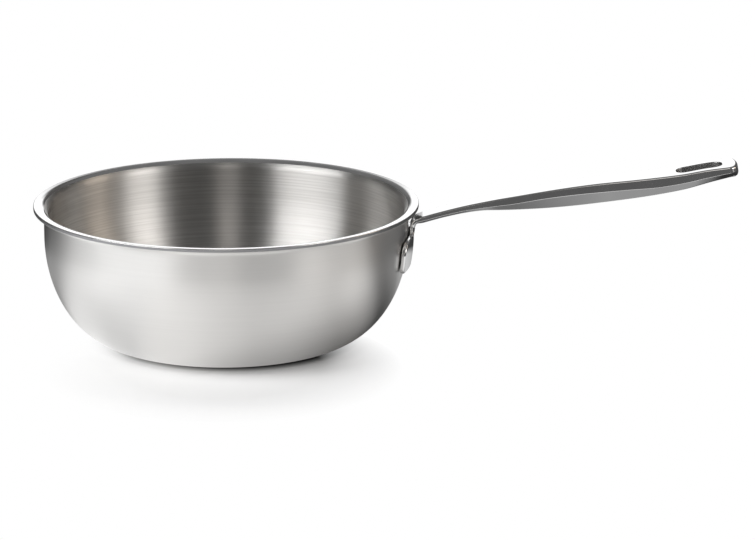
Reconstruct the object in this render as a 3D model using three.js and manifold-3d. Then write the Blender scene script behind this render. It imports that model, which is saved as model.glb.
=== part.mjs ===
// Saucier pan: a clad steel bowl with a turned-out pouring lip and one cast handle,
// whose wing-shaped foot is welded to the wall. Millimetres, +Z up, origin at the
// centre of the flat base, handle along +X.

import * as THREE from 'three';
import { mergeVertices } from 'three/addons/utils/BufferGeometryUtils.js';
import Module from 'manifold-3d';

const wasm = await Module();
wasm.setup();

// Bowl, outside sizes
const baseRadius = 70;
const wallRadius = 121;
const sideHeight = 72;
const bowlHeight = 93;
const lipRadius = 127.8;
const lipBendRadius = 3.5;

// Layers of the clad wall, outside to inside
const outerPlyThickness = 0.5;
const corePlyThickness = 1.6;
const innerPlyThickness = 0.5;
const bondGap = 0.02;

// Rounding of the lip's cut edge, as a share of the layer's thickness
const lipEdgeShare = 0.8;

// Foot of the handle, a plate that follows the wall
const footGap = 0.65;
const footThickness = 3;
const footWidth = 73;
const footBottom = 52.5;
const footTop = 73;
const footShoulderRadius = 9;
const footCornerRadius = 4;
const footFilletRadius = 4.5;

// Neck that rises from the foot and bends outwards under the lip
const neckWidth = 17;
const neckThickness = 3.2;
const neckRootHeight = 63;
const neckLean = 0.2;
const kneeHeight = 77.5;
const kneeDepth = 7.2;
const kneeRise = 6.6;
const strapThickness = 4.5;

// Grip
const handleReach = 338.5;
const handleTipHeight = 120.5;
const gripWidth = 29.2;
const gripDepth = 14.9;
const tipCornerRadius = 6;
const tipBowRadius = 43;
const tipRounding = 1.9;
const edgeRounding = 0.9;
const keelRounding = 1.4;
const sideDraft = Math.tan(THREE.MathUtils.degToRad(9));

// Hanging slot near the tip
const slotLength = 30.4;
const slotWidth = 15;
const slotCornerRadius = 6;
const slotTipMargin = 9.9;

// Welds between the foot and the wall
const weldCount = 4;
const weldRadius = 3;
const weldClearance = 0.05;
const weldHeightShare = 0.42;
const weldSpanShare = 0.74;

// How far a cutting body reaches past what it cuts
const overrun = 5;

// Faces
const turnSegments = 56;
const sideSteps = 10;
const lipSteps = 4;
const cornerSteps = 5;
const edgeSteps = 2;
const spanSteps = 2;
const weldSides = 16;

// Columns of points across the top and the underside of the handle, as shares of the
// half width.
const faceShares = [-1, -0.5, 0, 0.5, 1];

// Section of the neck and the strap: side face as a share of the thickness, keel as a share
// of the width.
const neckSideShare = 0.56;
const neckKeelShare = 0.76;

// Most that the keel's rounding takes of the height of the lower faces.
const keelLimitShare = 0.45;

// Corner point of the knee, as shares of its depth and rise.
const kneeCornerShares = { x: 0.32, z: 0.63 };

// Grip from the knee to the tip. Place along the run and height along the rise, then
// width and depth as shares of the grip's, side face as a share of the depth there and
// keel as a share of the width there.
const gripShares = [
  { run: 0.02, rise: 0.034, width: 0.582, depth: 0.302, side: 0.6, keel: 0.76 },
  { run: 0.067, rise: 0.11, width: 0.582, depth: 0.307, side: 0.6, keel: 0.76 },
  { run: 0.13, rise: 0.202, width: 0.59, depth: 0.343, side: 0.59, keel: 0.7 },
  { run: 0.187, rise: 0.274, width: 0.61, depth: 0.424, side: 0.577, keel: 0.56 },
  { run: 0.242, rise: 0.338, width: 0.64, depth: 0.578, side: 0.5, keel: 0.44 },
  { run: 0.297, rise: 0.396, width: 0.675, depth: 0.708, side: 0.45, keel: 0.36 },
  { run: 0.385, rise: 0.49, width: 0.73, depth: 0.878, side: 0.36, keel: 0.3 },
  { run: 0.475, rise: 0.578, width: 0.79, depth: 0.977, side: 0.354, keel: 0.28 },
  { run: 0.566, rise: 0.652, width: 0.845, depth: 1, side: 0.383, keel: 0.27 },
  { run: 0.66, rise: 0.711, width: 0.9, depth: 0.963, side: 0.411, keel: 0.28 },
  { run: 0.74, rise: 0.766, width: 0.945, depth: 0.893, side: 0.48, keel: 0.37 },
  { run: 0.823, rise: 0.832, width: 0.975, depth: 0.78, side: 0.497, keel: 0.54 },
  { run: 0.9, rise: 0.915, width: 0.993, depth: 0.67, side: 0.495, keel: 0.56 },
];
const tipShares = { depth: 0.475, side: 0.54, keel: 0.56 };

// Derived sizes
const coreDepth = outerPlyThickness + bondGap;
const innerDepth = coreDepth + corePlyThickness + bondGap;
const wallThickness = innerDepth + innerPlyThickness;
const lipBendHeight = bowlHeight - wallThickness - lipBendRadius;
const footInnerRadius = wallRadius + footGap;
const footOuterRadius = footInnerRadius + footThickness;
const neckFace = footInnerRadius + footGap / 2;
const neckRootDepth = footThickness - footGap;
const kneeStart = { x: neckFace + neckLean, z: kneeHeight };
const kneeEnd = { x: kneeStart.x + kneeDepth, z: kneeStart.z + kneeRise };
const handleRun = handleReach - kneeEnd.x;
const handleRise = handleTipHeight - kneeEnd.z;

// Outside line of the wall from the axis to the lip, each point with its inward normal.
function wallStations() {
  const stations = [
    { r: 0, z: 0, nr: 0, nz: 1 },
    { r: baseRadius, z: 0, nr: 0, nz: 1 },
    ...sideStations(),
  ];
  for (let i = 0; i <= lipSteps; i++) {
    const turn = (i / lipSteps) * (Math.PI / 2);
    const nr = -Math.cos(turn);
    const nz = Math.sin(turn);
    stations.push({
      r: wallRadius + lipBendRadius * (1 + nr),
      z: lipBendHeight + lipBendRadius * nz,
      nr,
      nz,
    });
  }
  stations.push({ r: lipRadius, z: bowlHeight - wallThickness, nr: 0, nz: 1 });
  return stations;
}

// Curved side: a quarter ellipse from the edge of the base up to the upright wall.
function sideStations() {
  const bulge = wallRadius - baseRadius;
  const stations = [];
  for (let i = 1; i <= sideSteps; i++) {
    const turn = (i / sideSteps) * (Math.PI / 2);
    const nr = -sideHeight * Math.sin(turn);
    const nz = bulge * Math.cos(turn);
    const length = Math.hypot(nr, nz);
    stations.push({
      r: baseRadius + bulge * Math.sin(turn),
      z: sideHeight * (1 - Math.cos(turn)),
      nr: nr / length,
      nz: nz / length,
    });
  }
  return stations;
}

function offsetLine(stations, depth) {
  return stations.map((s) => new THREE.Vector2(s.r + s.nr * depth, s.z + s.nz * depth));
}

// Solid of revolution about +Z from a profile of radius and height.
function revolve(profile) {
  return new THREE.LatheGeometry(profile, turnSegments).rotateX(Math.PI / 2);
}

// Line that ends in a quarter circle at the lip's cut edge instead of a square corner. The
// circle turns up (1) from a lower face or down (-1) from an upper one.
function roundedEnd(line, radius, towards) {
  const corner = line[line.length - 1];
  const rounded = line.slice(0, -1);
  for (let i = 0; i <= edgeSteps; i++) {
    const turn = (i / edgeSteps) * (Math.PI / 2);
    rounded.push(new THREE.Vector2(
      corner.x - radius * (1 - Math.sin(turn)),
      corner.y + towards * radius * (1 - Math.cos(turn)),
    ));
  }
  return rounded;
}

// One layer of the clad wall between two depths below the outside face. A layer that is
// open to view has the corner of its cut edge rounded, on its outside or its inside.
function plyGeometry(outerDepth, thickness, roundedFace) {
  const stations = wallStations();
  const radius = thickness * lipEdgeShare;
  let outside = offsetLine(stations, outerDepth);
  let inside = offsetLine(stations, outerDepth + thickness);
  if (roundedFace === 'outside') outside = roundedEnd(outside, radius, 1);
  if (roundedFace === 'inside') inside = roundedEnd(inside, radius, -1);
  return revolve([...outside, ...inside.reverse()]);
}

function toSolid(geometry) {
  const bare = geometry.clone();
  bare.deleteAttribute('normal');
  bare.deleteAttribute('uv');
  const merged = mergeVertices(bare);
  const mesh = new wasm.Mesh({
    numProp: 3,
    vertProperties: merged.getAttribute('position').array,
    triVerts: new Uint32Array(merged.getIndex().array),
  });
  return new wasm.Manifold(mesh);
}

function toGeometry(solid) {
  const mesh = solid.getMesh();
  const geometry = new THREE.BufferGeometry();
  geometry.setAttribute('position', new THREE.BufferAttribute(mesh.vertProperties, mesh.numProp));
  geometry.setIndex(new THREE.BufferAttribute(mesh.triVerts, 1));
  geometry.computeVertexNormals();
  return geometry;
}

// Ring round the upper wall between two clearances from it, up to the start of the lip.
function wallBand(innerClearance, outerClearance) {
  const stations = sideStations().filter((s) => s.z > footBottom - (footTop - footBottom));
  stations.push({ r: wallRadius, z: lipBendHeight, nr: -1, nz: 0 });
  const outside = offsetLine(stations, -outerClearance);
  const inside = offsetLine(stations, -innerClearance).reverse();
  return toSolid(revolve([...outside, ...inside, outside[0].clone()]));
}

// Outline of the foot in Y and Z: two wings with round shoulders and corners, and the
// start of the neck between two hollow fillets.
function footOutline() {
  const wing = footWidth / 2;
  const fillet = neckWidth / 2 + footFilletRadius;
  const neckTop = footTop + footFilletRadius;
  const shoulder = footTop - footShoulderRadius;
  const corner = footBottom + footCornerRadius;
  const quarter = Math.PI / 2;
  const outline = new THREE.Shape();
  outline.moveTo(0, footBottom);
  outline.absarc(wing - footCornerRadius, corner, footCornerRadius, -quarter, 0);
  outline.absarc(wing - footShoulderRadius, shoulder, footShoulderRadius, 0, quarter);
  outline.absarc(fillet, neckTop, footFilletRadius, -quarter, -2 * quarter, true);
  outline.absarc(-fillet, neckTop, footFilletRadius, 0, -quarter, true);
  outline.absarc(footShoulderRadius - wing, shoulder, footShoulderRadius, quarter, 2 * quarter);
  outline.absarc(footCornerRadius - wing, corner, footCornerRadius, 2 * quarter, 3 * quarter);
  return outline;
}

// Foot plate: the outline carried out along +X and cut to the ring that follows the wall.
function footSolid() {
  const settings = {
    depth: footOuterRadius + overrun,
    bevelEnabled: false,
    curveSegments: cornerSteps,
  };
  const column = new THREE.ExtrudeGeometry(footOutline(), settings);
  column.applyMatrix4(new THREE.Matrix4().makeBasis(
    new THREE.Vector3(0, 1, 0),
    new THREE.Vector3(0, 0, 1),
    new THREE.Vector3(1, 0, 0),
  ));
  return wallBand(footGap, footGap + footThickness).intersect(toSolid(column));
}

// Rows of the strap from its root in the foot to the end of the knee, on the face that
// looks at the wall and becomes the top of the handle.
function neckRows() {
  const corner = {
    x: kneeStart.x + kneeDepth * kneeCornerShares.x,
    z: kneeStart.z + kneeRise * kneeCornerShares.z,
  };
  const places = [
    { x: neckFace, z: neckRootHeight, depth: neckRootDepth },
    { x: neckFace, z: footTop, depth: footThickness },
    { ...kneeStart, depth: neckThickness },
    { ...corner, depth: neckThickness },
    { ...kneeEnd, depth: strapThickness },
  ];
  return places.map((place) => ({
    ...place,
    width: neckWidth / 2,
    side: place.depth * neckSideShare,
    keel: (neckWidth / 2) * neckKeelShare,
  }));
}

function gripRows() {
  return gripShares.map((share) => {
    const width = (gripWidth / 2) * share.width;
    const depth = gripDepth * share.depth;
    return {
      x: kneeEnd.x + handleRun * share.run,
      z: kneeEnd.z + handleRise * share.rise,
      width,
      depth,
      side: depth * share.side,
      keel: width * share.keel,
    };
  });
}

// Row where the corners of the tip start, on the last slope of the grip.
function tipRow() {
  const depth = gripDepth * tipShares.depth;
  const slope = handleRise / handleRun;
  return {
    x: handleReach - tipCornerRadius,
    z: handleTipHeight - tipCornerRadius * slope,
    width: gripWidth / 2,
    depth: depth + tipCornerRadius * slope,
    side: depth * tipShares.side,
    keel: (gripWidth / 2) * tipShares.keel,
  };
}

// Smooth stations through the rows from the root to the corners of the tip.
function gripStations() {
  const rows = [...neckRows(), ...gripRows(), tipRow()];
  const line = new THREE.CatmullRomCurve3(
    rows.map((row) => new THREE.Vector3(row.x, row.z, row.width)), false, 'catmullrom',
  );
  const section = new THREE.CatmullRomCurve3(
    rows.map((row) => new THREE.Vector3(row.depth, row.side, row.keel)), false, 'catmullrom',
  );
  const count = (rows.length - 1) * spanSteps;
  const stations = [];
  for (let i = 0; i <= count; i++) {
    const place = line.getPoint(i / count);
    const size = section.getPoint(i / count);
    stations.push({
      x: place.x, z: place.y, width: place.z, depth: size.x, side: size.y, keel: size.z,
      rounding: edgeRounding, turn: 0, lead: 0,
    });
  }
  return stations;
}

// Stations that turn through the corners of the tip. The outline turns from along the
// handle to across it, the end bows out by half width squared over twice its radius, and
// the edge's rounding grows. The lead is how far the outline is ahead of the middle.
function tipStations() {
  const last = tipRow();
  const slope = (handleTipHeight - last.z) / tipCornerRadius;
  const bow = (last.width - tipCornerRadius) ** 2 / (2 * tipBowRadius);
  const stations = [];
  for (let i = 1; i <= cornerSteps; i++) {
    const turn = (i / cornerSteps) * (Math.PI / 2);
    const middle = (tipCornerRadius - tipRounding) * (i / cornerSteps);
    const width = last.width - tipCornerRadius * (1 - Math.cos(turn));
    stations.push({
      ...last,
      x: last.x + middle,
      z: last.z + middle * slope,
      width,
      depth: last.depth - middle * slope,
      keel: Math.min(last.keel, width),
      rounding: edgeRounding + (tipRounding - edgeRounding) * Math.sin(turn),
      turn,
      lead: (tipCornerRadius - bow) * Math.sin(turn) - middle,
    });
  }
  return stations;
}

// Half section from the top edge to the underside: rounded edge, side face that leans out
// downwards, lower face and rounded keel. Each point has an inset from the outline and a
// depth below the top.
function halfSection(station) {
  const { width, side, depth, keel, rounding } = station;
  const chamfer = rounding * (1 - Math.SQRT1_2);
  const draft = Math.max(side - rounding, 0) * sideDraft;
  const lower = new THREE.Vector2(width - keel, depth - side);
  const keelCut = Math.min(keelRounding, lower.y * keelLimitShare);
  const keelStart = lower.clone().setLength(lower.length() - keelCut);
  return [
    { inset: draft + rounding, down: 0 },
    { inset: draft + chamfer, down: chamfer },
    { inset: draft, down: rounding },
    { inset: 0, down: side },
    { inset: keelStart.x, down: side + keelStart.y },
    { inset: width - keel + keelCut, down: depth },
  ];
}

// Point of a section at a share of its width. The inset draws it in across the outline,
// and what it draws in along the handle goes no further than the rounding. Between the two
// edges the place along the handle follows the square of the share.
function sectionPoint(station, { inset, down }, share) {
  const { width, rounding, turn, lead } = station;
  const edgeInset = Math.min(inset, rounding);
  const edge = lead - edgeInset * Math.sin(turn);
  const middle = turn < Math.PI / 2 ? 0 : rounding - edgeInset;
  return {
    across: share * (width - inset * Math.cos(turn)),
    ahead: middle + (edge - middle) * share ** 2,
    down,
  };
}

// Unit direction of the handle's upper line at a station, from its neighbours.
function directionAt(stations, i) {
  const before = stations[Math.max(i - 1, 0)];
  const after = stations[Math.min(i + 1, stations.length - 1)];
  return new THREE.Vector2(after.x - before.x, after.z - before.z).normalize();
}

// Grid over a section, a row for each corner of it and a column for each share across,
// set square to the upper line.
function sectionGrid(stations, i) {
  const along = directionAt(stations, i);
  return halfSection(stations[i]).map((corner) => faceShares.map((share) => {
    const { across, ahead, down } = sectionPoint(stations[i], corner, share);
    return new THREE.Vector3(
      stations[i].x + along.x * ahead + along.y * down,
      across,
      stations[i].z + along.y * ahead - along.x * down,
    );
  }));
}

// Edge of a section's grid as a ring: the top row, the right edge, the underside and the
// left edge.
function gridRing(grid) {
  const columns = faceShares.length;
  const inner = grid.slice(1, -1);
  return [
    ...grid[0],
    ...inner.map((row) => row[columns - 1]),
    ...grid[grid.length - 1].slice().reverse(),
    ...inner.map((row) => row[0]).reverse(),
  ];
}

// Two triangles between two rows of points at a column and the next.
function quadPoints(row, nextRow, j) {
  const k = (j + 1) % row.length;
  return [row[j], nextRow[k], row[k], row[j], nextRow[j], nextRow[k]];
}

// Closed skin through the sections, with both ends covered by their grids.
function strapGeometry(stations) {
  const grids = stations.map((station, i) => sectionGrid(stations, i));
  const rings = grids.map(gridRing);
  const points = [];
  for (let i = 0; i < rings.length - 1; i++) {
    for (let j = 0; j < rings[i].length; j++) {
      points.push(...quadPoints(rings[i], rings[i + 1], j));
    }
  }
  const first = grids[0];
  const last = grids[grids.length - 1];
  for (let i = 0; i < first.length - 1; i++) {
    for (let j = 0; j < faceShares.length - 1; j++) {
      points.push(...quadPoints(first[i + 1], first[i], j));
      points.push(...quadPoints(last[i], last[i + 1], j));
    }
  }
  return new THREE.BufferGeometry().setFromPoints(points);
}

// Hanging slot: a rounded rectangle pushed square through the top face near the tip.
function slotSolid(stations) {
  const length = slotLength / 2 - slotCornerRadius;
  const width = slotWidth / 2 - slotCornerRadius;
  const quarter = Math.PI / 2;
  const outline = new THREE.Shape();
  outline.absarc(length, -width, slotCornerRadius, -quarter, 0);
  outline.absarc(length, width, slotCornerRadius, 0, quarter);
  outline.absarc(-length, width, slotCornerRadius, quarter, 2 * quarter);
  outline.absarc(-length, -width, slotCornerRadius, 2 * quarter, 3 * quarter);
  const settings = {
    depth: gripDepth + 2 * overrun,
    bevelEnabled: false,
    curveSegments: cornerSteps,
  };
  const centreX = handleReach - slotTipMargin - slotLength / 2;
  const i = stations.findIndex((station) => station.x > centreX);
  const before = stations[i - 1];
  const after = stations[i];
  const share = (centreX - before.x) / (after.x - before.x);
  const centre = new THREE.Vector3(centreX, 0, before.z + (after.z - before.z) * share);
  const along = new THREE.Vector3(after.x - before.x, 0, after.z - before.z).normalize();
  const across = new THREE.Vector3(0, 1, 0);
  const up = new THREE.Vector3().crossVectors(along, across);
  const placed = new THREE.Matrix4().makeBasis(along, across, up);
  placed.setPosition(centre.addScaledVector(up, -gripDepth - overrun));
  return toSolid(new THREE.ExtrudeGeometry(outline, settings).applyMatrix4(placed));
}

function handleGeometry() {
  const stations = [...gripStations(), ...tipStations()];
  const strap = toSolid(strapGeometry(stations));
  return toGeometry(strap.add(footSolid()).subtract(slotSolid(stations)));
}

// One weld: a short radial cylinder cut to the space between the wall and the foot.
function weldGeometry(index) {
  const halfAngle = Math.asin(footWidth / 2 / footOuterRadius) * weldSpanShare;
  const angle = halfAngle * ((2 * index) / (weldCount - 1) - 1);
  const height = footBottom + (footTop - footBottom) * weldHeightShare;
  const length = 2 * (footThickness + overrun);
  const rod = new THREE.CylinderGeometry(weldRadius, weldRadius, length, weldSides);
  rod.rotateZ(Math.PI / 2);
  rod.translate(footInnerRadius, 0, height);
  rod.rotateZ(angle);
  const space = wallBand(weldClearance, footGap - weldClearance);
  return toGeometry(space.intersect(toSolid(rod)));
}

const polished = { roughness: 0.12, metalness: 1 };
const finishes = {
  outerPly: new THREE.MeshStandardMaterial({ color: 0xb9babb, roughness: 0.34, metalness: 1 }),
  corePly: new THREE.MeshStandardMaterial({ color: 0xc9cbcf, roughness: 0.5, metalness: 1 }),
  innerPly: new THREE.MeshStandardMaterial({ color: 0xb7b4b0, roughness: 0.3, metalness: 1 }),
  handle: new THREE.MeshStandardMaterial({ color: 0xc4c6c8, ...polished }),
  weld: new THREE.MeshStandardMaterial({ color: 0x8d8d8f, roughness: 0.55, metalness: 1 }),
};

const pan = new THREE.Group();

function addPiece(name, geometry, material) {
  const mesh = new THREE.Mesh(geometry, material);
  mesh.name = name;
  pan.add(mesh);
}

addPiece('outer_ply', plyGeometry(0, outerPlyThickness, 'outside'), finishes.outerPly);
addPiece('core_ply', plyGeometry(coreDepth, corePlyThickness, 'none'), finishes.corePly);
addPiece('inner_ply', plyGeometry(innerDepth, innerPlyThickness, 'inside'), finishes.innerPly);
addPiece('handle', handleGeometry(), finishes.handle);
for (let i = 0; i < weldCount; i++) {
  addPiece(`foot_weld_${i + 1}`, weldGeometry(i), finishes.weld);
}

export default pan;
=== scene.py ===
import math

import bmesh
import bpy
import numpy as np
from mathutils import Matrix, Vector


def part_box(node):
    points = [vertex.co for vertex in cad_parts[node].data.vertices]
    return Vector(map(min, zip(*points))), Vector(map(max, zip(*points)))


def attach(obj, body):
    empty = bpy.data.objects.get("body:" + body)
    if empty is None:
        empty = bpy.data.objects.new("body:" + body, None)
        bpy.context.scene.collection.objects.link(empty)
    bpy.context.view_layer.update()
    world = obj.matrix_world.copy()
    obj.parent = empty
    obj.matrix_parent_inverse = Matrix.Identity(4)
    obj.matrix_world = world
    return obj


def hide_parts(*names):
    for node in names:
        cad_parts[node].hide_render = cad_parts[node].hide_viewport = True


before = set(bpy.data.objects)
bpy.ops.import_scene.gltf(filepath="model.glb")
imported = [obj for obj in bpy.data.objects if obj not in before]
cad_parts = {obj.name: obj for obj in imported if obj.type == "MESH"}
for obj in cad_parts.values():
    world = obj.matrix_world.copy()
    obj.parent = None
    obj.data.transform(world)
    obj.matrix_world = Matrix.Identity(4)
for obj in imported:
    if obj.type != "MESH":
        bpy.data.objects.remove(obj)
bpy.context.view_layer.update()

# Driving sizes of the pan, in metres. The rest comes from the frame's boxes.
MM = 0.001
BASE_RADIUS = 70 * MM
WALL_RADIUS = 121 * MM
SIDE_HEIGHT = 72 * MM
LIP_BEND_RADIUS = 3.5 * MM
OUTER_PLY = 0.5 * MM
CORE_PLY = 1.6 * MM
INNER_PLY = 0.5 * MM
BOND_GAP = 0.02 * MM
LIP_EDGE_ROUNDING = 0.42 * MM

# Foot, neck and grip of the handle
FOOT_GAP = 0.65 * MM
FOOT_THICKNESS = 3 * MM
FOOT_WIDTH = 73 * MM
FOOT_BOTTOM = 52.5 * MM
FOOT_TOP = 73 * MM
FOOT_SHOULDER = 9 * MM
FOOT_CORNER = 4 * MM
FOOT_FILLET = 4.5 * MM
NECK_WIDTH = 17 * MM
NECK_THICKNESS = 3.2 * MM
STRAP_THICKNESS = 4.5 * MM
NECK_LEAN = 0.2 * MM
KNEE_HEIGHT = 77.5 * MM
KNEE_DEPTH = 7.2 * MM
KNEE_RISE = 6.6 * MM
HANDLE_REACH = 338.5 * MM
HANDLE_TIP_HEIGHT = 120.5 * MM
GRIP_WIDTH = 29.2 * MM
GRIP_DEPTH = 14.9 * MM
TIP_CORNER = 6 * MM
TIP_BOW_RADIUS = 43 * MM
TIP_ROUNDING = 1.9 * MM
EDGE_ROUNDING = 0.9 * MM
SIDE_ROUNDING = 0.15 * MM
KEEL_ROUNDING = 1.4 * MM
SIDE_DRAFT = math.tan(math.radians(9))

# Hanging slot
SLOT_LENGTH = 30.4 * MM
SLOT_WIDTH = 15 * MM
SLOT_CORNER = 6 * MM
SLOT_TIP_MARGIN = 9.9 * MM
SLOT_EDGE = 0.5 * MM
SLOT_EDGE_START = math.radians(12)

# Shares that shape the foot, the neck and the grip
FOOT_SIDE_SHARE = 0.72
FOOT_KEEL_INSET = 0.5 * MM
NECK_SIDE_SHARE = 0.56
NECK_KEEL_SHARE = 0.76
KNEE_CORNER_SHARES = (0.32, 0.63)
# Each row: place along the run, height along the rise, width and depth of the grip's,
# side face of the depth there, keel of the width there.
GRIP_SHARES = np.array([
    (0.02, 0.034, 0.582, 0.302, 0.6, 0.76),
    (0.067, 0.11, 0.582, 0.307, 0.6, 0.76),
    (0.13, 0.202, 0.59, 0.343, 0.59, 0.7),
    (0.187, 0.274, 0.61, 0.424, 0.577, 0.56),
    (0.242, 0.338, 0.64, 0.578, 0.5, 0.44),
    (0.297, 0.396, 0.675, 0.708, 0.45, 0.36),
    (0.385, 0.49, 0.73, 0.878, 0.36, 0.3),
    (0.475, 0.578, 0.79, 0.977, 0.354, 0.28),
    (0.566, 0.652, 0.845, 1, 0.383, 0.27),
    (0.66, 0.711, 0.9, 0.963, 0.411, 0.28),
    (0.74, 0.766, 0.945, 0.893, 0.48, 0.37),
    (0.823, 0.832, 0.975, 0.78, 0.497, 0.54),
    (0.9, 0.915, 0.993, 0.67, 0.495, 0.56),
])
TIP_DEPTH_SHARE = 0.475
TIP_SIDE_SHARE = 0.54
TIP_KEEL_SHARE = 0.56

# Sizes that come from the frame
LIP_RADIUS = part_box("outer_ply")[1][1]
BOWL_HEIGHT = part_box("inner_ply")[1][2]
CORE_DEPTH = OUTER_PLY + BOND_GAP
INNER_DEPTH = CORE_DEPTH + CORE_PLY + BOND_GAP
WALL_THICKNESS = INNER_DEPTH + INNER_PLY
LIP_BEND_HEIGHT = BOWL_HEIGHT - WALL_THICKNESS - LIP_BEND_RADIUS
FOOT_INNER = WALL_RADIUS + FOOT_GAP
KNEE_START = (FOOT_INNER + FOOT_GAP / 2 + NECK_LEAN, KNEE_HEIGHT)
KNEE_END = (KNEE_START[0] + KNEE_DEPTH, KNEE_HEIGHT + KNEE_RISE)

# Fineness of the meshes
TURN_STEPS = 360
BASE_STEPS = 35
SIDE_STEPS = 72
UPRIGHT_STEPS = 7
LIP_STEPS = 14
LIP_FLAT_STEPS = 4
EDGE_STEPS = 5
FOOT_CORNER_STEPS = 8
FOOT_SIDE_STEPS = 7
SHOULDER_STEPS = 14
FOOT_TOP_STEPS = 11
NECK_FILLET_STEPS = 12
TIP_STEPS = 12
SLOT_CORNER_STEPS = 10
SLOT_EDGE_STEPS = 4
FILLET_STEPS = 6
FACE_STEPS = 12
SPAN_STEPS = 10
# Rows that keep a flat face flat between two roundings, as shares of its height
FLAT_SHARES = (0.06, 0.5, 0.94)
EDGE_MARGIN = 0.08 * MM

# Mesh clean-up
MERGE_DISTANCE = 0.002 * MM
SHARP_ANGLE = math.radians(38)
KEEL_ROUNDING_SHARE = 0.45

# The wall's finish stops in the lip's bend, and the light sees the lip climb outwards
LIP_START = 91.6 * MM
LIP_CLIMB = math.tan(math.radians(5))

# Grain: rings per metre along the wall, and how slowly they change round it
FINE_RINGS = 2600
WIDE_RINGS = 850
RING_LENGTH = 11
SMEAR_SCALE = 9
SMEAR_SHARE = 0.3
STREAK_RANGE = (0.36, 0.64)
HAZE_SCALE = 60
WAVE_SCALE = 45
GRAIN_SCALE = 900
NOISE_RANGE = (0.3, 0.7)
HAZE_SHARES = (0.7, 1.5)
GRAIN_ROUGHNESS = 0.1

# Depths of the grain and of the waves in polished faces
SATIN_GRAIN = 0.012 * MM
INSIDE_GRAIN = 0.02 * MM
LIP_WAVE = 0.01 * MM
HANDLE_WAVE = 0.02 * MM
CORE_GRAIN = 0.05 * MM
SLOT_GRAIN = 0.01 * MM
WELD_GRAIN = 0.2 * MM

# Colours of the metals
SATIN_DARK = (0.65, 0.645, 0.635)
SATIN_LIGHT = (0.67, 0.665, 0.655)
INSIDE_DARK = (0.58, 0.57, 0.555)
INSIDE_LIGHT = (0.76, 0.75, 0.735)
POLISH_DARK = (0.70, 0.70, 0.70)
POLISH_LIGHT = (0.80, 0.80, 0.80)
# The core's cut edge: grainy like bare aluminium, but its colour is far darker, painted shade that
# draws the dark line across the lip's edge
CORE_SHADE_DARK = (0.3, 0.3, 0.31)
CORE_SHADE_LIGHT = (0.36, 0.36, 0.37)
# The slot's wall: unpolished and grainy, with its colour darkened as painted shade in the slot
SLOT_SHADE_DARK = (0.28, 0.28, 0.28)
SLOT_SHADE_LIGHT = (0.36, 0.36, 0.36)
WELD_DARK = (0.3, 0.29, 0.28)
WELD_LIGHT = (0.5, 0.48, 0.46)

# Studio: lamps as name, place, size, power and colour. They light the floor.
SOFT_BOXES = [
    ("back_box", (-0.3, 0.6, 1.6), 1.2, 8, (1, 1, 1)),
    ("key_box", (-1.2, -0.7, 1.2), 1.0, 24, (1, 1, 1)),
    ("fill_box", (1.6, -0.9, 1.1), 1.0, 2, (1, 0.97, 0.93)),
]
LAMP_TARGET = (0.05, 0, 0.04)
WORLD_LIGHT = 0.5

# Floor: its own colour, a painted ring of light that stands in for the light the wall throws
# back on it, a painted contact shadow round the base, and where it turns white
FLOOR_COLOUR = 0.8
# Painted light: a glowing ring, seen only by the camera, that brightens the floor round the base
PAINTED_FLOOR_LIGHT = 0.14
PAINTED_FLOOR_LIGHT_RING = (0.078, 0.095, 0.11, 0.16)
PAINTED_FLOOR_LIGHT_CENTRE = (0.008, 0, 0)
# Painted contact shadow: the floor's colour falls to this share of itself between these distances from
# the centre, round the base
PAINTED_CONTACT_SHADOW_RING = (0.0755, 0.086)
PAINTED_CONTACT_SHADOW_CENTRE = (0.004, 0, 0)
PAINTED_CONTACT_SHADOW_LEVEL = 0.05
SHADE_CENTRE = (0, -0.076, 0)
SHADE_STRETCH = (1.07, 1, 1)
FLOOR_FADE = (0.07, 0.125)
FLOOR_REACH = 12
# Floor seen in the metal: degrees round from the camera's side, level and warmth
FLOOR_LEVELS = [
    (-180, 0.3, 0), (-150, 0.45, 0), (-135, 0.5, 0), (-115, 0.7, 0), (-106, 1, 0),
    (-98, 1.6, 0), (-90, 2.2, 0), (-80, 2.4, 0), (-68, 2.3, 0), (-56, 1.7, 0),
    (-42, 1.38, 0), (-28, 1.5, 0.01), (-14, 1.48, 0.01), (0, 1.26, 0.01), (13, 1.1, 0.01),
    (27, 1.1, 0.01), (41, 1, 0.01), (56, 0.9, 0.01), (72, 1.35, 0.01), (83, 1.15, 0),
    (89, 0.4, 0), (101, 0.35, 0), (106, 0.6, 0), (111, 0.4, 0), (121, 0.7, 0),
    (139, 0.5, 0), (160, 0.3, 0),
]
# Shades on that mirrored floor: centre, two distances from it, and the share left at each
FLOOR_SHADES = [
    ((0.06, 0, 0), 0.04, 0.13, 0.1, 1),
    ((-0.06, -0.02, 0), 0.1, 0.3, 0.78, 1),
    ((-0.17, 0, 0), 0.07, 0.14, 0.65, 1),
    ((0.165, 0.01, 0), 0.04, 0.1, 0.55, 1),
    ((-0.02, -0.17, 0), 0.415, 0.445, 1, 0.1),
]

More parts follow.
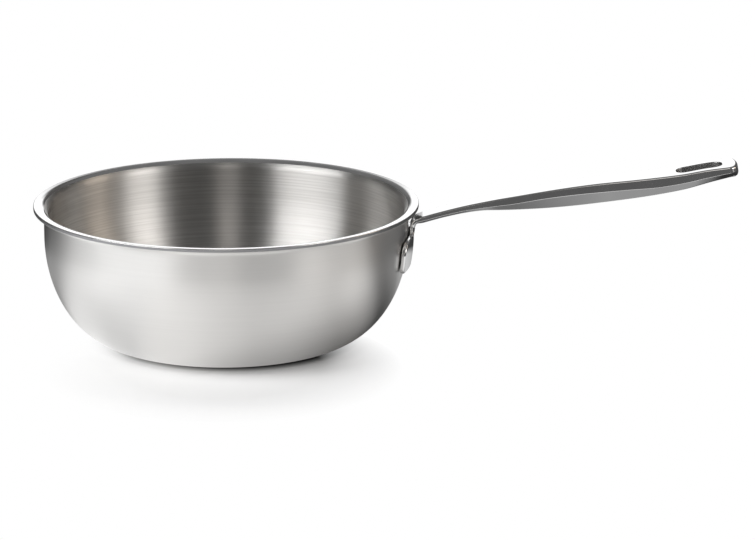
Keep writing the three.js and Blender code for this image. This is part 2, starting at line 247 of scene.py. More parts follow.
# Room seen in the metal: degrees round from the camera's side, level and warmth
ROOM_LEVELS = [
    (-180, 0.25, 0), (-150, 0.15, 0), (-131, 0.02, 0), (-116, 0.5, 0.02),
    (-103, 0.15, 0.02), (-92, 0.1, 0), (-86, 0.3, 0), (-80, 5, 0), (-59, 6.6, 0),
    (-50, 7, 0), (-42, 6.6, 0), (-35, 5.6, 0), (-29, 1, 0), (-25, 0.3, 0.01),
    (-17, 0.02, 0.02), (-8, 0.02, 0.02), (-4, 1.6, 0.04), (6, 1.5, 0.06), (10, 0.02, 0.02),
    (28, 0.01, 0.02), (38, 0.05, 0.03), (45, 1.2, 0.03), (52, 5.4, 0.03),
    (66, 5.4, 0.04), (74, 2, 0.06), (84, 0.3, 0.1), (92, 2, 0.16), (104, 2.2, 0.16),
    (113, 0.6, 0.16), (119, 0.03, 0.16), (150, 0.1, 0.04),
]
# Low part of the room, up to this sine, is darker
ROOM_LOW = (0.14, 0.3)
LOW_LEVEL = 0.12
ROOM_TOP = (0.45, 0.65)
CEILING_LEVEL = 0.18
# Backdrop: how far it reaches to each side and how high, as sines, and its level
BACKDROP_SIDE = (0.11, 0.19)
BACKDROP_TOP = (0.27, 0.36)
BACKDROP_LEVEL = 1.35

# Camera: found from the bowl's outline and the lip in the photo's frame
PHOTO_WIDTH = 755
FOCAL_PIXELS = 3874
SENSOR_WIDTH = 36
CAMERA_PLACE = (100.4 * MM, -2500 * MM, 703.3 * MM)
CAMERA_TILT = math.radians(90 - 14.731)


# Camera

def make_camera():
    data = bpy.data.cameras.new("photo_camera")
    data.sensor_width = SENSOR_WIDTH
    data.lens = FOCAL_PIXELS * SENSOR_WIDTH / PHOTO_WIDTH
    camera = bpy.data.objects.new("photo_camera", data)
    camera.location = CAMERA_PLACE
    camera.rotation_euler = (CAMERA_TILT, 0, 0)
    bpy.context.scene.collection.objects.link(camera)
    bpy.context.scene.camera = camera


# Mesh helpers

def mesh_object(name, points, faces, materials):
    """Object at the origin with smooth faces, from arrays of points and of face corners."""
    mesh = bpy.data.meshes.new(name)
    mesh.from_pydata(points.tolist(), [], faces)
    for material in materials:
        mesh.materials.append(material)
    mesh.shade_smooth()
    piece = bpy.data.objects.new(name, mesh)
    bpy.context.scene.collection.objects.link(piece)
    return piece


def set_map(piece, corners):
    """Writes one map coordinate for each face corner, in the order of the faces."""
    layer = piece.data.uv_layers.new(name="surface")
    layer.data.foreach_set("uv", corners.astype(np.float32).ravel())


def arc(start, end, steps):
    """Angles or places from start to end in equal steps, both ends included."""
    return np.linspace(start, end, steps + 1)


# Clad bowl

def wall_line():
    """Outside line of the wall as rows of radius, height and inward normal: a flat base, a
    quarter ellipse r = base + bulge sin a, z = side (1 - cos a), an upright stretch, a
    quarter circle that turns outwards, and a flat lip."""
    bulge = WALL_RADIUS - BASE_RADIUS
    base_r = arc(0, BASE_RADIUS, BASE_STEPS)[:-1]
    base = np.stack([base_r, 0 * base_r, 0 * base_r, 1 + 0 * base_r], 1)
    a = arc(0, math.pi / 2, SIDE_STEPS)
    nr = -SIDE_HEIGHT * np.sin(a)
    nz = bulge * np.cos(a)
    size = np.hypot(nr, nz)
    side = np.stack([
        BASE_RADIUS + bulge * np.sin(a),
        SIDE_HEIGHT * (1 - np.cos(a)),
        nr / size,
        nz / size,
    ], 1)
    up = arc(SIDE_HEIGHT, LIP_BEND_HEIGHT, UPRIGHT_STEPS)[1:-1]
    upright = np.stack([WALL_RADIUS + 0 * up, up, -1 + 0 * up, 0 * up], 1)
    b = arc(0, math.pi / 2, LIP_STEPS)
    bend = np.stack([
        WALL_RADIUS + LIP_BEND_RADIUS * (1 - np.cos(b)),
        LIP_BEND_HEIGHT + LIP_BEND_RADIUS * np.sin(b),
        -np.cos(b),
        np.sin(b),
    ], 1)
    return np.concatenate([base, side, upright, bend])


def offset(line, depth):
    return line[:, :2] + line[:, 2:] * depth


def lip_end(depth, rounding, outward):
    """End of a layer's face at the cut edge of the lip: flat out to the edge, then a quarter
    circle of the given rounding from the face (outward -1 below, 1 above) to the upright."""
    z = BOWL_HEIGHT - WALL_THICKNESS + depth
    flat_end = LIP_RADIUS - rounding - EDGE_MARGIN
    flat = arc(WALL_RADIUS + LIP_BEND_RADIUS, flat_end, LIP_FLAT_STEPS)[1:]
    flat = np.stack([flat, z + 0 * flat], 1)
    if rounding == 0:
        return np.concatenate([flat, [[LIP_RADIUS, z]]])
    a = arc(0, math.pi / 2, EDGE_STEPS)
    round_edge = np.stack([
        LIP_RADIUS - rounding * (1 - np.sin(a)),
        z - outward * rounding * (1 - np.cos(a)),
    ], 1)
    return np.concatenate([flat, round_edge])


def layer_profile(outer_depth, thickness, round_below, round_above):
    """Closed profile of one layer, from the axis out along its lower face to the lip and
    back along its upper face to the axis."""
    line = wall_line()
    inner_depth = outer_depth + thickness
    outside = np.concatenate([offset(line, outer_depth), lip_end(outer_depth, round_below, -1)])
    inside = np.concatenate([offset(line, inner_depth), lip_end(inner_depth, round_above, 1)])
    return outside, inside


def run_along(profile):
    """Length along a profile up to each of its points."""
    steps = np.hypot(*np.diff(profile, axis=0).T)
    return np.concatenate([[0], np.cumsum(steps)])


def turned_piece(name, outside, inside, materials, lip_start):
    """Closed solid of revolution: point (i, j) is (r_i cos t_j, r_i sin t_j, z_i) with t_j in
    equal steps round the axis. Its two ends on the axis are single points. Faces above the
    height where the lip starts take the second material."""
    profile = np.concatenate([outside, inside[::-1]])
    run = np.concatenate([run_along(outside), run_along(inside)[::-1]])
    ring = profile[1:-1]
    rows = len(ring)
    turn = np.arange(TURN_STEPS) * (2 * math.pi / TURN_STEPS)
    grid = np.empty((rows, TURN_STEPS, 3))
    grid[..., 0] = ring[:, :1] * np.cos(turn)
    grid[..., 1] = ring[:, :1] * np.sin(turn)
    grid[..., 2] = ring[:, 1:]
    poles = np.array([[0, 0, profile[0, 1]], [0, 0, profile[-1, 1]]])
    points = np.concatenate([grid.reshape(-1, 3), poles])

    i, j = np.meshgrid(np.arange(rows - 1), np.arange(TURN_STEPS), indexing="ij")
    k = (j + 1) % TURN_STEPS
    quads = np.stack([
        i * TURN_STEPS + j, i * TURN_STEPS + k,
        (i + 1) * TURN_STEPS + k, (i + 1) * TURN_STEPS + j,
    ], -1).reshape(-1, 4)
    share = 1 / TURN_STEPS
    ring_run = run[1:-1]
    quad_map = np.stack([
        np.stack([ring_run[i], j * share], -1), np.stack([ring_run[i], (j + 1) * share], -1),
        np.stack([ring_run[i + 1], (j + 1) * share], -1), np.stack([ring_run[i + 1], j * share], -1),
    ], -2).reshape(-1, 2)

    first = np.arange(TURN_STEPS)
    after = (first + 1) % TURN_STEPS
    last_row = (rows - 1) * TURN_STEPS
    below = np.stack([0 * first + rows * TURN_STEPS, after, first], 1)
    above = np.stack([0 * first + rows * TURN_STEPS + 1, last_row + first, last_row + after], 1)
    below_map = np.stack([
        np.stack([0 * first, first * share], 1),
        np.stack([0 * first + run[1], (first + 1) * share], 1),
        np.stack([0 * first + run[1], first * share], 1),
    ], 1).reshape(-1, 2)
    above_map = np.stack([
        np.stack([0 * first, first * share], 1),
        np.stack([0 * first + run[-2], first * share], 1),
        np.stack([0 * first + run[-2], (first + 1) * share], 1),
    ], 1).reshape(-1, 2)

    faces = quads.tolist() + below.tolist() + above.tolist()
    piece = mesh_object(name, points, faces, materials)
    piece.data.set_sharp_from_angle(angle=SHARP_ANGLE)
    set_map(piece, np.concatenate([quad_map, below_map, above_map]))
    if len(materials) > 1:
        middle = (ring[:-1] + ring[1:]) / 2
        on_lip = (middle[:, 1] > lip_start).astype(np.int32)
        index = np.concatenate([np.repeat(on_lip, TURN_STEPS), np.zeros(2 * TURN_STEPS, np.int32)])
        piece.data.polygons.foreach_set("material_index", index)
    return piece


# Cast handle

def through(rows, steps):
    """Uniform Catmull-Rom curve through rows of numbers: between p1 and p2 it is the cubic
    with end slopes (p2 - p0) / 2 and (p3 - p1) / 2, sampled in equal steps."""
    padded = np.concatenate([[2 * rows[0] - rows[1]], rows, [2 * rows[-1] - rows[-2]]])
    t = np.arange(steps) / steps
    t = t[None, :, None]
    p0, p1, p2, p3 = (padded[k:len(padded) - 3 + k, None, :] for k in range(4))
    slope1 = (p2 - p0) / 2
    slope2 = (p3 - p1) / 2
    curve = (
        p1 + slope1 * t + (3 * (p2 - p1) - 2 * slope1 - slope2) * t ** 2
        + (2 * (p1 - p2) + slope1 + slope2) * t ** 3
    )
    return np.concatenate([curve.reshape(-1, rows.shape[1]), rows[-1:]])


def wall_radius_at(z):
    """Outside radius of the wall at a height: the ellipse below the upright wall."""
    rise = np.clip(1 - z / SIDE_HEIGHT, 0, 1)
    return BASE_RADIUS + (WALL_RADIUS - BASE_RADIUS) * np.sqrt(1 - rise ** 2)


# Columns of a table of stations along the handle
X, Z, WIDTH, DEPTH, SIDE, KEEL, ROUND, ACROSS, ALONG, EDGE, BEND, GO_X, GO_Z = range(13)
COLUMNS = 13


def foot_stations():
    """Stations up the foot: half width and edge height follow the outline (corner, side,
    shoulder, top edge, hollow fillet into the neck), and the middle climbs evenly with the
    outline's length from the shoulder on. ACROSS and ALONG hold the outline's normal."""
    wing = FOOT_WIDTH / 2
    neck = NECK_WIDTH / 2
    shoulder = FOOT_TOP - FOOT_SHOULDER
    neck_top = FOOT_TOP + FOOT_FILLET
    a = arc(0, math.pi / 2, FOOT_CORNER_STEPS)
    corner = np.stack([
        wing - FOOT_CORNER * (1 - np.sin(a)), FOOT_BOTTOM + FOOT_CORNER * (1 - np.cos(a)),
        np.sin(a), -np.cos(a),
    ], 1)
    z = arc(FOOT_BOTTOM + FOOT_CORNER, shoulder, FOOT_SIDE_STEPS)[1:-1]
    side = np.stack([wing + 0 * z, z, 1 + 0 * z, 0 * z], 1)
    a = arc(0, math.pi / 2, SHOULDER_STEPS)
    top = np.stack([
        wing - FOOT_SHOULDER * (1 - np.cos(a)), shoulder + FOOT_SHOULDER * np.sin(a),
        np.cos(a), np.sin(a),
    ], 1)
    s = arc(wing - FOOT_SHOULDER, neck + FOOT_FILLET, FOOT_TOP_STEPS)[1:-1]
    edge = np.stack([s, FOOT_TOP + 0 * s, 0 * s, 1 + 0 * s], 1)
    a = arc(0, math.pi / 2, NECK_FILLET_STEPS)
    fillet = np.stack([
        neck + FOOT_FILLET * (1 - np.sin(a)), neck_top - FOOT_FILLET * np.cos(a),
        np.sin(a), np.cos(a),
    ], 1)
    lower = np.concatenate([corner, side])
    upper = np.concatenate([top, edge, fillet])
    length = run_along(upper[:, :2])
    climb = shoulder + (neck_top - shoulder) * length / length[-1]
    outline = np.concatenate([lower, upper])
    middle = np.concatenate([lower[:, 1], climb])
    middle[:len(corner)] += EDGE_ROUNDING * np.cos(arc(0, math.pi / 2, FOOT_CORNER_STEPS))

    table = np.zeros((len(outline), COLUMNS))
    blend = np.clip((middle - FOOT_TOP) / (KNEE_HEIGHT - FOOT_TOP), 0, 1)
    blend = blend ** 2 * (3 - 2 * blend)
    table[:, X] = wall_radius_at(middle) + FOOT_GAP + blend * (KNEE_START[0] - FOOT_INNER)
    table[:, Z] = middle
    table[:, WIDTH] = outline[:, 0]
    table[:, DEPTH] = FOOT_THICKNESS + blend * (NECK_THICKNESS - FOOT_THICKNESS)
    side_share = FOOT_SIDE_SHARE + blend * (NECK_SIDE_SHARE - FOOT_SIDE_SHARE)
    table[:, SIDE] = table[:, DEPTH] * side_share
    neck_inset = neck * (1 - NECK_KEEL_SHARE)
    keel_inset = FOOT_KEEL_INSET + blend * (neck_inset - FOOT_KEEL_INSET)
    table[:, KEEL] = outline[:, 0] - keel_inset
    table[:, ROUND] = EDGE_ROUNDING
    table[:, ACROSS] = outline[:, 2]
    table[:, ALONG] = outline[:, 3]
    table[:, EDGE] = outline[:, 1] - middle
    table[:, BEND] = 1 - blend
    return table


def grip_rows():
    """Rows from the knee to the start of the tip's corners: the neck's section, the shares
    of the run and the rise, and the last slope of the grip."""
    half = NECK_WIDTH / 2
    neck, strap = (
        (half, depth, depth * NECK_SIDE_SHARE, half * NECK_KEEL_SHARE)
        for depth in (NECK_THICKNESS, STRAP_THICKNESS)
    )
    corner = (
        KNEE_START[0] + KNEE_DEPTH * KNEE_CORNER_SHARES[0],
        KNEE_START[1] + KNEE_RISE * KNEE_CORNER_SHARES[1],
    )
    knee = np.array([(*KNEE_START, *neck), (*corner, *neck), (*KNEE_END, *strap)])
    run = HANDLE_REACH - KNEE_END[0]
    rise = HANDLE_TIP_HEIGHT - KNEE_END[1]
    place, height, wide, deep, side, keel = GRIP_SHARES.T
    width = wide * GRIP_WIDTH / 2
    depth = deep * GRIP_DEPTH
    grip = np.stack([
        KNEE_END[0] + run * place, KNEE_END[1] + rise * height,
        width, depth, depth * side, width * keel,
    ], 1)
    slope = rise / run
    depth = GRIP_DEPTH * TIP_DEPTH_SHARE
    tip = np.array([(
        HANDLE_REACH - TIP_CORNER, HANDLE_TIP_HEIGHT - TIP_CORNER * slope, GRIP_WIDTH / 2,
        depth + TIP_CORNER * slope, depth * TIP_SIDE_SHARE, GRIP_WIDTH / 2 * TIP_KEEL_SHARE,
    )])
    return np.concatenate([knee, grip, tip])


def grip_stations():
    """Smooth stations from the knee to the tip, and a quarter circle of narrowing ones whose
    end bows out by half width squared over twice the bow's radius."""
    rows = grip_rows()
    smooth = through(rows, SPAN_STEPS)[1:]
    table = np.zeros((len(smooth), COLUMNS))
    table[:, :6] = smooth
    table[:, ROUND] = EDGE_ROUNDING
    table[:, ACROSS] = 1

    a = arc(0, math.pi / 2, TIP_STEPS)[1:]
    last = rows[-1]
    slope = (HANDLE_TIP_HEIGHT - last[1]) / TIP_CORNER
    end_half = last[2] - TIP_CORNER
    bow = end_half ** 2 / (2 * TIP_BOW_RADIUS)
    edge = (TIP_CORNER - bow) * np.sin(a)
    middle = (TIP_CORNER - TIP_ROUNDING) * a / a[-1]
    tip = np.zeros((len(a), COLUMNS))
    tip[:, X] = last[0] + middle
    tip[:, Z] = last[1] + middle * slope
    tip[:, WIDTH] = last[2] - TIP_CORNER * (1 - np.cos(a))
    tip[:, DEPTH] = last[3] - middle * slope
    tip[:, SIDE] = last[4]
    tip[:, KEEL] = np.minimum(last[5], tip[:, WIDTH] - SIDE_ROUNDING)
    tip[:, ROUND] = EDGE_ROUNDING + (TIP_ROUNDING - EDGE_ROUNDING) * np.sin(a)
    tip[:, ACROSS] = np.cos(a)
    tip[:, ALONG] = np.sin(a)
    tip[:, EDGE] = edge - middle
    return np.concatenate([table, tip])


def bend_corner(before, corner, after):
    """Rounded corner: the quadratic curve from before to after with the corner as its
    control point, for arrays of 2-D points."""
    t = np.linspace(0, 1, EDGE_STEPS + 1)[:, None, None]
    return before * (1 - t) ** 2 + corner * (2 * t * (1 - t)) + after * t ** 2


def between(first, last):
    """Rows of points on the straight lines from first to last."""
    share = np.array(FLAT_SHARES)[:, None, None]
    return first + (last - first) * share


def half_section(table, turn):
    """Inset from the outline, inset along the handle and depth below the top for each point
    of the right half, from the top edge to the keel: a quarter circle, the drafted side face
    and two rounded corners. Stations that round off an end draw both insets in by
    r (1 - sin turn) and the depth by r (1 - cos turn)."""
    r = table[:, ROUND]
    side = table[:, SIDE]
    depth = table[:, DEPTH]
    a = arc(0, math.pi / 2, FILLET_STEPS)[:, None]
    draft = np.maximum(side - r, 0) * SIDE_DRAFT * table[:, ACROSS]
    top = np.stack([draft + r * (1 - np.sin(a)), r * (1 - np.cos(a))], -1)
    corner = np.stack([0 * side, side], -1)
    keel = np.stack([table[:, WIDTH] - table[:, KEEL], depth], -1)
    slope = keel - corner
    slope /= np.linalg.norm(slope, axis=1, keepdims=True)
    keel_round = np.minimum(KEEL_ROUNDING, (depth - side) * KEEL_ROUNDING_SHARE)[:, None]
    up = np.array([SIDE_DRAFT, -1])
    inward = np.array([1, 0])
    side_bend = bend_corner(corner + SIDE_ROUNDING * up, corner, corner + SIDE_ROUNDING * slope)
    keel_bend = bend_corner(keel - keel_round * slope, keel, keel + keel_round * inward)
    half = np.concatenate([
        top, between(top[-1], side_bend[0]), side_bend, between(side_bend[-1], keel_bend[0]), keel_bend,
    ])
    along = np.minimum(half[..., 0], r * (1 - np.sin(turn)))
    lift = r * (1 - np.cos(turn))
    return half[..., 0], along, np.clip(half[..., 1], lift, depth - lift)


def handle_grid(table, turn):
    """Points of the handle as stations by ring: the right half from the middle of the top to
    the middle of the underside, then the left half mirrored. Between the middle and the
    first rounded point the place along the handle follows the square of the share across.
    Then the foot's stations are wrapped round the wall by x cos(y / R), x sin(y / R)."""
    inset, inset_along, down = half_section(table, turn)
    share = np.linspace(0, 1, FACE_STEPS + 1)[:-1, None]
    edge_across = table[:, WIDTH] - inset * table[:, ACROSS]
    edge_along = table[:, EDGE] - inset_along * table[:, ALONG]
    reach = table[:, ROUND] * np.sin(turn) * table[:, ALONG]
    across = np.concatenate([share * edge_across[0], edge_across, share[::-1] * edge_across[-1]])
    along = np.concatenate([
        share ** 2 * (edge_along[0] - reach) + reach,
        edge_along,
        share[::-1] ** 2 * (edge_along[-1] - reach) + reach,
    ])
    depth = np.concatenate([
        np.repeat(down[:1], FACE_STEPS, 0), down, np.repeat(down[-1:], FACE_STEPS, 0),
    ])
    across = np.concatenate([across, -across[-2:0:-1]])
    along = np.concatenate([along, along[-2:0:-1]])
    depth = np.concatenate([depth, depth[-2:0:-1]])
    x = table[:, X] + table[:, GO_X] * along + table[:, GO_Z] * depth
    z = table[:, Z] + table[:, GO_Z] * along - table[:, GO_X] * depth
    angle = across / WALL_RADIUS
    bent_x = x + table[:, BEND] * (x * np.cos(angle) - x)
    bent_y = across + table[:, BEND] * (x * np.sin(angle) - across)
    return np.stack([bent_x, bent_y, z], -1).transpose(1, 0, 2)


def handle_stations():
    """The whole handle from the lower edge of the foot to the tip, and repeats of the first
    and last station that round the ends over by a quarter turn."""
    table = np.concatenate([foot_stations(), grip_stations()])
    go = np.gradient(table[:, [X, Z]], axis=0)
    table[:, [GO_X, GO_Z]] = go / np.linalg.norm(go, axis=1, keepdims=True)
    steps = arc(0, math.pi / 2, FILLET_STEPS)[1:]
    turn = np.concatenate([steps[::-1], np.zeros(len(table)), steps])
    return np.pad(table, ((len(steps), len(steps)), (0, 0)), mode="edge"), turn


def end_faces(ring):
    """Corners of the faces that close one end of the handle: strips between the top and the
    underside of the right half, the edge in one face, and the same mirrored."""
    last = ring // 2
    top = np.arange(FACE_STEPS - 1)
    strips = np.stack([top, top + 1, last - top - 1, last - top], 1).tolist()
    strips.append(list(range(FACE_STEPS - 1, last - FACE_STEPS + 2)))
    mirrored = [[(ring - corner) % ring for corner in face[::-1]] for face in strips]
    return strips + mirrored


def slot_outline(flare):
    """Rounded rectangle of the slot, widened by a flare, as rows of along and across."""
    half_length = SLOT_LENGTH / 2 - SLOT_CORNER
    half_width = SLOT_WIDTH / 2 - SLOT_CORNER
    a = arc(0, math.pi / 2, SLOT_CORNER_STEPS)
    corner = (SLOT_CORNER + flare) * np.stack([np.cos(a), np.sin(a)], 1)
    quarter = corner + [half_length, half_width]
    upper = np.concatenate([quarter, quarter[::-1] * [-1, 1]])
    return np.concatenate([upper, upper[::-1] * [1, -1]])


def slot_cutter(table):
    """Body of the slot: its outline set square to the top line, with the wall turned out by
    a quarter circle where it meets the top face. Rows go from above the handle to below."""
    length = run_along(table[:, [X, Z]])
    centre = np.interp(HANDLE_REACH - SLOT_TIP_MARGIN - SLOT_LENGTH / 2, table[:, X], length)
    a = arc(SLOT_EDGE_START, math.pi / 2, SLOT_EDGE_STEPS)
    flares = np.concatenate([[SLOT_EDGE * (1 - math.sin(a[0]))], SLOT_EDGE * (1 - np.sin(a)), [0]])
    depths = np.concatenate([[-GRIP_DEPTH], SLOT_EDGE * (1 - np.cos(a)), [2 * GRIP_DEPTH]])
    rows = []
    for flare, depth in zip(flares, depths):
        along, across = slot_outline(flare).T
        x, z, go_x, go_z = (
            np.interp(centre + along, length, table[:, column]) for column in (X, Z, GO_X, GO_Z)
        )
        rows.append(np.stack([x + go_z * depth, across, z - go_x * depth], 1))
    return np.stack(rows)


def closed_grid(name, points, caps, materials):
    """Object from a grid of stations by closed ring, with faces given for its two ends. Its
    double points are merged and its faces turned outwards."""
    stations, ring = points.shape[:2]
    i, j = np.meshgrid(np.arange(stations - 1), np.arange(ring), indexing="ij")
    k = (j + 1) % ring
    quads = np.stack([i * ring + j, i * ring + k, (i + 1) * ring + k, (i + 1) * ring + j], -1)
    last = (stations - 1) * ring
    faces = quads.reshape(-1, 4).tolist()
    faces += [face[::-1] for face in caps]
    faces += [[last + corner for corner in face] for face in caps]
    piece = mesh_object(name, points.reshape(-1, 3), faces, materials)
    shape = bmesh.new()
    shape.from_mesh(piece.data)
    bmesh.ops.remove_doubles(shape, verts=shape.verts, dist=MERGE_DISTANCE)
    bmesh.ops.recalc_face_normals(shape, faces=shape.faces)
    shape.to_mesh(piece.data)
    shape.free()
    return piece


def make_handle(materials):
    """Handle with the slot cut through it and its edges kept crisp. The slot's wall takes the
    second material, an unpolished finish whose dark colour is painted shade in the slot."""
    table, turn = handle_stations()
    points = handle_grid(table, turn)
    handle = closed_grid("cast_handle", points, end_faces(points.shape[1]), materials)
    rows = slot_cutter(table[turn == 0])
    cap = [list(range(rows.shape[1]))]
    cutter = closed_grid("slot_body", rows, cap, materials)
    cutter.data.polygons.foreach_set("material_index", np.ones(len(cutter.data.polygons), np.int32))
    cut = handle.modifiers.new("slot", "BOOLEAN")
    cut.operation = "DIFFERENCE"
    cut.solver = "EXACT"
    cut.object = cutter
    view_layer = bpy.context.view_layer
    view_layer.update()
    finished = bpy.data.meshes.new_from_object(handle.evaluated_get(view_layer.depsgraph))
    handle.modifiers.clear()
    handle.data = finished
    bpy.data.objects.remove(cutter)
    finished.shade_smooth()
    finished.set_sharp_from_angle(angle=SHARP_ANGLE)
    return handle


# Finishes

class Nodes:
    """Adds shader nodes to one tree and links them by socket name."""

    def __init__(self, tree):
        self.tree = tree
        tree.nodes.clear()

    def add(self, kind, settings=None, **inputs):
        node = self.tree.nodes.new(kind)
        for name, value in (settings or {}).items():
            setattr(node, name, value)
        for name, value in inputs.items():
            self.set(node.inputs[name.replace("_", " ")], value)
        return node

    def set(self, socket, value):
        if isinstance(value, bpy.types.NodeSocket):
            self.tree.links.new(value, socket)
        else:
            socket.default_value = value

    def math(self, operation, first, second=0):
        node = self.tree.nodes.new("ShaderNodeMath")
        node.operation = operation
        self.set(node.inputs[0], first)
        self.set(node.inputs[1], second)
        return node.outputs[0]

    def spread(self, value, low, high, floor=0, ceiling=1):
        """Value mapped from floor..ceiling to low..high."""
        node = self.add("ShaderNodeMapRange", From_Min=floor, From_Max=ceiling, To_Min=low, To_Max=high)
        self.set(node.inputs["Value"], value)
        return node.outputs["Result"]


def turned_grain(nodes, along_run, round_axis):
    """Noise in rings round the axis: fine along the profile's length, long round the pan."""
    place = nodes.add("ShaderNodeTexCoord").outputs["Object"]
    split = nodes.add("ShaderNodeSeparateXYZ", Vector=place)
    run = nodes.add("ShaderNodeUVMap", {"uv_map": "surface"}).outputs["UV"]
    run = nodes.add("ShaderNodeSeparateXYZ", Vector=run).outputs["X"]
    vector = nodes.add(
        "ShaderNodeCombineXYZ",
        X=nodes.math("MULTIPLY", split.outputs["X"], round_axis),
        Y=nodes.math("MULTIPLY", split.outputs["Y"], round_axis),
        Z=nodes.math("MULTIPLY", run, along_run),
    )
    noise = nodes.add(
        "ShaderNodeTexNoise", Vector=vector.outputs[0], Scale=1, Detail=3, Roughness=0.6,
    )
    return noise.outputs["Fac"]


def cloud(nodes, scale, detail=3):
    place = nodes.add("ShaderNodeTexCoord").outputs["Object"]
    noise = nodes.add("ShaderNodeTexNoise", Vector=place, Scale=scale, Detail=detail)
    return noise.outputs["Fac"]


def mixed(nodes, value, first, second):
    """Colour between two, given or linked, by a value clamped to 0..1."""
    mix = nodes.add("ShaderNodeMix", {"data_type": "RGBA"})
    nodes.set(mix.inputs["Factor"], value)
    nodes.set(mix.inputs["A"], first)
    nodes.set(mix.inputs["B"], second)
    return mix.outputs["Result"]


def blended(nodes, value, first, second):
    """Shader between two by a value."""
    mix = nodes.add("ShaderNodeMixShader", Fac=value)
    nodes.set(mix.inputs[1], first.outputs[0])
    nodes.set(mix.inputs[2], second.outputs[0])
    return mix


def new_finish(name):
    material = bpy.data.materials.new(name)
    material.use_nodes = True
    return material, Nodes(material.node_tree)


def metal(nodes, colour, roughness, normal=None, anisotropy=0, tangent=None):
    shader = nodes.add("ShaderNodeBsdfPrincipled", Metallic=1)
    nodes.set(shader.inputs["Base Color"], colour)
    nodes.set(shader.inputs["Roughness"], roughness)
    shader.inputs["Anisotropic"].default_value = anisotropy
    if normal:
        nodes.set(shader.inputs["Normal"], normal)
    if tangent:
        nodes.set(shader.inputs["Tangent"], tangent)
    nodes.add("ShaderNodeOutputMaterial", Surface=shader.outputs["BSDF"])


def brushed_steel(name, dark, light, roughness, streaks, depth, anisotropy):
    """Steel brushed round the axis: fine rings in height, wider rings in roughness, and
    faint clouds in colour. The shine spreads across the rings."""
    material, nodes = new_finish(name)
    fine = turned_grain(nodes, FINE_RINGS, RING_LENGTH)
    wide = turned_grain(nodes, WIDE_RINGS, RING_LENGTH)
    smear = cloud(nodes, SMEAR_SCALE)
    streak = nodes.spread(wide, 0, 1, *STREAK_RANGE)
    streak = nodes.math("MULTIPLY", streak, 1 - SMEAR_SHARE)
    tone = nodes.math("ADD", streak, nodes.math("MULTIPLY", smear, SMEAR_SHARE))
    colour = mixed(nodes, tone, (*dark, 1), (*light, 1))
    rough = nodes.spread(wide, roughness - streaks, roughness + streaks, *NOISE_RANGE)
    bump = nodes.add("ShaderNodeBump", Strength=1, Distance=depth, Height=fine)
    tangent = nodes.add("ShaderNodeTangent", {"direction_type": "UV_MAP", "uv_map": "surface"})
    metal(nodes, colour, rough, bump.outputs["Normal"], anisotropy, tangent.outputs["Tangent"])
    return material


def polished_steel(name, dark, light, roughness, wave, climb=0):
    """Mirror polished steel: faint haze in roughness, a slow wave in the surface, and for
    the lip a slight climb of its face outwards from the axis."""
    material, nodes = new_finish(name)
    haze = cloud(nodes, HAZE_SCALE, 5)
    colour = mixed(nodes, haze, (*dark, 1), (*light, 1))
    low, high = HAZE_SHARES
    rough = nodes.spread(haze, roughness * low, roughness * high, *NOISE_RANGE)
    height = nodes.math("MULTIPLY", cloud(nodes, WAVE_SCALE, 1), wave)
    if climb:
        place = nodes.add("ShaderNodeTexCoord").outputs["Object"]
        flat = nodes.add("ShaderNodeVectorMath", {"operation": "MULTIPLY"})
        nodes.set(flat.inputs[0], place)
        nodes.set(flat.inputs[1], (1, 1, 0))
        radius = distance_from(nodes, flat.outputs["Vector"], (0, 0, 0))
        height = nodes.math("ADD", height, nodes.math("MULTIPLY", radius, climb))
    bump = nodes.add("ShaderNodeBump", Strength=1, Distance=1, Height=height)
    metal(nodes, colour, rough, bump.outputs["Normal"])
    return material


def raw_metal(name, dark, light, roughness, depth):
    """Unpolished metal: mottled colour and a grainy surface."""
    material, nodes = new_finish(name)
    grain = cloud(nodes, GRAIN_SCALE, 6)
    colour = mixed(nodes, grain, (*dark, 1), (*light, 1))
    rough = nodes.spread(grain, roughness - GRAIN_ROUGHNESS, roughness + GRAIN_ROUGHNESS)
    bump = nodes.add("ShaderNodeBump", Strength=1, Distance=depth, Height=grain)
    metal(nodes, colour, rough, bump.outputs["Normal"])
    return material


# Studio

def seen_directly(nodes):
    """1 for rays that see the background itself or its reflection, 0 for light rays."""
    path = nodes.add("ShaderNodeLightPath").outputs
    either = nodes.math("MAXIMUM", path["Is Camera Ray"], path["Is Glossy Ray"])
    return nodes.math("MAXIMUM", either, path["Is Transmission Ray"])


def compass_ramp(nodes, split, levels):
    """Colour by direction round the compass, counted from the camera's side, from rows of
    degrees, level and warmth."""
    compass = nodes.math("ARCTAN2", split["X"], nodes.math("MULTIPLY", split["Y"], -1))
    turn = nodes.spread(compass, 0, 1, -math.pi, math.pi)
    ramp = nodes.add("ShaderNodeValToRGB")
    stops = ramp.color_ramp.elements
    while len(stops) > 1:
        stops.remove(stops[0])
    for index, (degrees, level, warmth) in enumerate(levels):
        place_on_ramp = (degrees + 180) / 360
        stop = stops[0] if index == 0 else stops.new(place_on_ramp)
        stop.position = place_on_ramp
        stop.color = (level * (1 + warmth), level, level * (1 - warmth), 1)
    nodes.set(ramp.inputs["Fac"], turn)
    return ramp.outputs["Color"]


def grey(level):
    return (level, level, level, 1)


